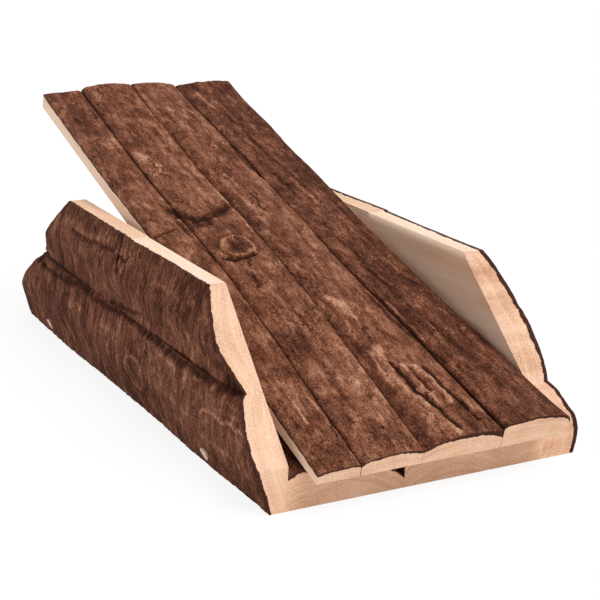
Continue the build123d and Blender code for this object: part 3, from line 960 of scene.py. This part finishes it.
class SEESAW_OT_walls(bpy.types.Operator):
    """Dress the four slabs of the two walls"""

    bl_idname = "seesaw.walls"
    bl_label = "Walls"

    def execute(self, context):
        finishes = finishes_for_slabs(context.scene.seesaw_colours)
        for slab in WALL_SLABS:
            make_wall_slab(*slab, context.scene, finishes)
        return {"FINISHED"}


class SEESAW_OT_tray(bpy.types.Operator):
    """Dress the four slabs of the tray"""

    bl_idname = "seesaw.tray"
    bl_label = "Tray"

    def execute(self, context):
        finishes = finishes_for_slabs(context.scene.seesaw_colours)
        for number in range(len(tray_drops)):
            make_tray_slab(number, context.scene, finishes)
        return {"FINISHED"}


class SEESAW_OT_plank(bpy.types.Operator):
    """Dress the four strips of the rocking plank"""

    bl_idname = "seesaw.plank"
    bl_label = "Plank"

    def execute(self, context):
        finishes = finishes_for_slabs(context.scene.seesaw_colours)
        for number in range(STRIP_COUNT):
            make_strip(number, context.scene, finishes)
        return {"FINISHED"}


class SEESAW_OT_pegs(bpy.types.Operator):
    """Give the four pegs and the axle rod their turned wood"""

    bl_idname = "seesaw.pegs"
    bl_label = "Pegs and axle"

    def execute(self, context):
        finish = plain_wood_finish("dowel", context.scene.seesaw_colours, (0, 0, math.pi / 2))
        for name in (
            "left_peg_front", "left_peg_rear", "right_peg_front", "right_peg_rear", "axle_rod"
        ):
            dress_node(name, finish)
        return {"FINISHED"}


class SEESAW_OT_pivot(bpy.types.Operator):
    """Give the cross batten and the pivot blocks their sawn wood"""

    bl_idname = "seesaw.pivot"
    bl_label = "Batten and pivot blocks"

    def execute(self, context):
        colours = context.scene.seesaw_colours
        across = plain_wood_finish("batten_wood", colours, (0, 0, math.pi / 2))
        along = plain_wood_finish("block_wood", colours, (0, -tilt, 0))
        dress_node("cross_batten", across)
        for name in ("left_pivot_block", "right_pivot_block"):
            dress_node(name, along)
        return {"FINISHED"}


class SEESAW_OT_stage(bpy.types.Operator):
    """Lay the floor, light the seesaw and aim the camera"""

    bl_idname = "seesaw.stage"
    bl_label = "Stage"

    def execute(self, context):
        stage = context.scene.seesaw_stage
        lay_floor(stage)
        light(context, stage)
        aim_camera(context)
        context.scene.view_settings.view_transform = "Standard"
        return {"FINISHED"}


# Stage, in metres
FLOOR_REACH = 4.0
FLOOR_GAP = 0.2 * MM
FLOOR_WHITE = 0.88  # share of plain white in the floor, where it is looked at directly
UNIT_SQUARE = ((-1, -1), (1, -1), (1, 1), (-1, 1))
LAMP_TOWARDS = (-0.55, -0.25, -1.0)
LENS, SENSOR = 89.59, 36.0  # in millimetres
CAMERA_PLACE = (0.66258, -0.32820, 0.26164)
CAMERA_TARGET = (0.0, 0.02236, 0.03861)
CAMERA_ROLL = math.radians(0.79)


def seen_directly(tree):
    """1 for rays from the camera, and for mirror and glass rays."""
    path = node(tree, "ShaderNodeLightPath").outputs
    either = maths(tree, "MAXIMUM", path["Is Camera Ray"], path["Is Glossy Ray"])
    return maths(tree, "MAXIMUM", either, path["Is Transmission Ray"])


def lay_floor(stage):
    """A wide pale floor that shows white and keeps the seesaw's shadow."""
    mesh = bpy.data.meshes.new("floor")
    level = cad_box[0][2] - FLOOR_GAP
    corners = [(x * FLOOR_REACH, y * FLOOR_REACH, level) for x, y in UNIT_SQUARE]
    mesh.from_pydata(corners, [], [(0, 1, 2, 3)])
    floor = bpy.data.objects.new("floor", mesh)
    bpy.context.scene.collection.objects.link(floor)
    finish = bpy.data.materials.new("floor")
    finish.use_nodes = True
    tree = finish.node_tree
    tree.nodes.clear()
    diffuse = node(tree, "ShaderNodeBsdfDiffuse", {"Color": (*stage.floor, 1)})
    white = node(tree, "ShaderNodeEmission", {"Color": (1, 1, 1, 1), "Strength": 1.0})
    share = maths(tree, "MULTIPLY", seen_directly(tree), FLOOR_WHITE)
    mixed = node(
        tree, "ShaderNodeMixShader",
        {0: share, 1: diffuse.outputs["BSDF"], 2: white.outputs["Emission"]},
    )
    node(tree, "ShaderNodeOutputMaterial", {"Surface": mixed.outputs["Shader"]})
    mesh.materials.append(finish)


def light(context, stage):
    """Even light from all round, and one large soft lamp from above and the low end."""
    world = bpy.data.worlds.new("surroundings")
    context.scene.world = world
    world.use_nodes = True
    tree = world.node_tree
    tree.nodes.clear()
    shown = node(tree, "ShaderNodeBackground", {"Color": (1, 1, 1, 1), "Strength": 1.0})
    soft = node(
        tree, "ShaderNodeBackground",
        {"Color": (1, 1, 1, 1), "Strength": stage.surroundings},
    )
    mixed = node(
        tree, "ShaderNodeMixShader",
        {0: seen_directly(tree), 1: soft.outputs["Background"], 2: shown.outputs["Background"]},
    )
    node(tree, "ShaderNodeOutputWorld", {"Surface": mixed.outputs["Shader"]})
    lamp = bpy.data.lights.new("soft_lamp", "SUN")
    lamp.energy = stage.lamp
    lamp.angle = stage.lamp_spread
    holder = bpy.data.objects.new("soft_lamp", lamp)
    context.scene.collection.objects.link(holder)
    holder.rotation_euler = Vector(LAMP_TOWARDS).to_track_quat("-Z", "Y").to_euler()


def aim_camera(context):
    """A long lens, a little above the low end and to the left."""
    camera = bpy.data.cameras.new("camera")
    camera.lens = LENS
    camera.sensor_width = SENSOR
    camera.clip_start, camera.clip_end = 0.01, 50.0
    holder = bpy.data.objects.new("camera", camera)
    context.scene.collection.objects.link(holder)
    place = Vector(CAMERA_PLACE)
    aim = (Vector(CAMERA_TARGET) - place).to_track_quat("-Z", "Y").to_matrix().to_4x4()
    roll = Matrix.Rotation(CAMERA_ROLL, 4, "Z")
    holder.matrix_world = Matrix.Translation(place) @ aim @ roll
    context.scene.camera = holder


# ---------------------------------------------------------------- panel and running


class SEESAW_PT_panel(bpy.types.Panel):
    """Lists the seesaw's pieces and their settings"""

    bl_idname = "SEESAW_PT_panel"
    bl_label = "Bark seesaw"
    bl_space_type = "VIEW_3D"
    bl_region_type = "UI"
    bl_category = "Seesaw"

    def draw(self, context):
        for operator in OPERATORS:
            self.layout.operator(operator.bl_idname)
        for group in (
            context.scene.seesaw_sizes, context.scene.seesaw_colours, context.scene.seesaw_stage
        ):
            for name in group.bl_rna.properties.keys():
                if name not in ("rna_type", "name"):
                    self.layout.prop(group, name)


OPERATORS = (
    SEESAW_OT_walls, SEESAW_OT_tray, SEESAW_OT_plank, SEESAW_OT_pegs, SEESAW_OT_pivot,
    SEESAW_OT_stage,
)
CLASSES = (SeesawSizes, SeesawColours, SeesawStage, *OPERATORS, SEESAW_PT_panel)


def register():
    """Add the settings, the operators and the panel."""
    for item in CLASSES:
        bpy.utils.register_class(item)
    bpy.types.Scene.seesaw_sizes = bpy.props.PointerProperty(type=SeesawSizes)
    bpy.types.Scene.seesaw_colours = bpy.props.PointerProperty(type=SeesawColours)
    bpy.types.Scene.seesaw_stage = bpy.props.PointerProperty(type=SeesawStage)


def unregister():
    """Take them away again."""
    del bpy.types.Scene.seesaw_stage
    del bpy.types.Scene.seesaw_colours
    del bpy.types.Scene.seesaw_sizes
    for item in reversed(CLASSES):
        bpy.utils.unregister_class(item)


def main():
    """Dress the whole seesaw."""
    register()
    bpy.ops.seesaw.walls()
    bpy.ops.seesaw.tray()
    bpy.ops.seesaw.plank()
    bpy.ops.seesaw.pegs()
    bpy.ops.seesaw.pivot()
    bpy.ops.seesaw.stage()


if __name__ == "__main__":
    main()
